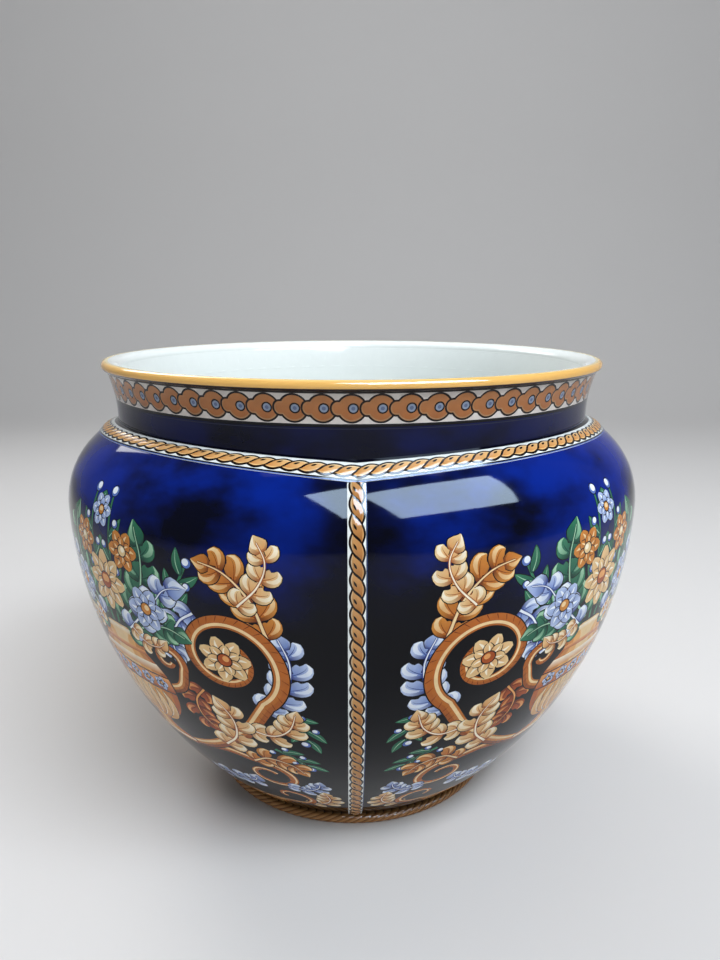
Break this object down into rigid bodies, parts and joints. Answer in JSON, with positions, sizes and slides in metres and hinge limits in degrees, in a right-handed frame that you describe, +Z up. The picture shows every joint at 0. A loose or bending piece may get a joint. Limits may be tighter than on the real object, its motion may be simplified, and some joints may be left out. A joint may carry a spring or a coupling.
{
  "type": "cachepot",
  "caption": "Lobed glazed earthenware cachepot with a flared collar, rolled lip, rope bands along its seams and shoulders and a rope foot ring; holds a plant pot.",
  "frame": {"origin": "centre of the foot ring, on the surface that the pot stands on", "axes": "+Z up along the pot's axis; -Y towards the seam that faces the camera; +X to the right of that view"},
  "size_m": [0.26, 0.26, 0.208],
  "materials": {
    "cobalt_glaze": "glossy cobalt glaze with painted ornament outside, white glaze inside",
    "rope_ochre": "glossy glaze over an ochre rope with dark outlines and white margins",
    "white_glaze": "glossy white tin glaze",
    "chain_border": "glossy cream-white glaze with a brown chain border",
    "lip_ochre": "glossy ochre glaze"
  },
  "bodies": {
    "root": {"lobe_wall_front_right": "cobalt_glaze", "lobe_wall_back_right": "cobalt_glaze", "lobe_wall_back_left": "cobalt_glaze", "lobe_wall_front_left": "cobalt_glaze", "shoulder_rope_front_right": "rope_ochre", "shoulder_rope_back_right": "rope_ochre", "shoulder_rope_back_left": "rope_ochre", "shoulder_rope_front_left": "rope_ochre", "seam_strip_front": "rope_ochre", "seam_strip_right": "rope_ochre", "seam_strip_back": "rope_ochre", "seam_strip_left": "rope_ochre", "foot_ring": "rope_ochre", "floor_disc": "white_glaze", "neck_ring": "cobalt_glaze", "collar_band": "chain_border", "rim_roll": "lip_ochre"}
  },
  "joints": []
}
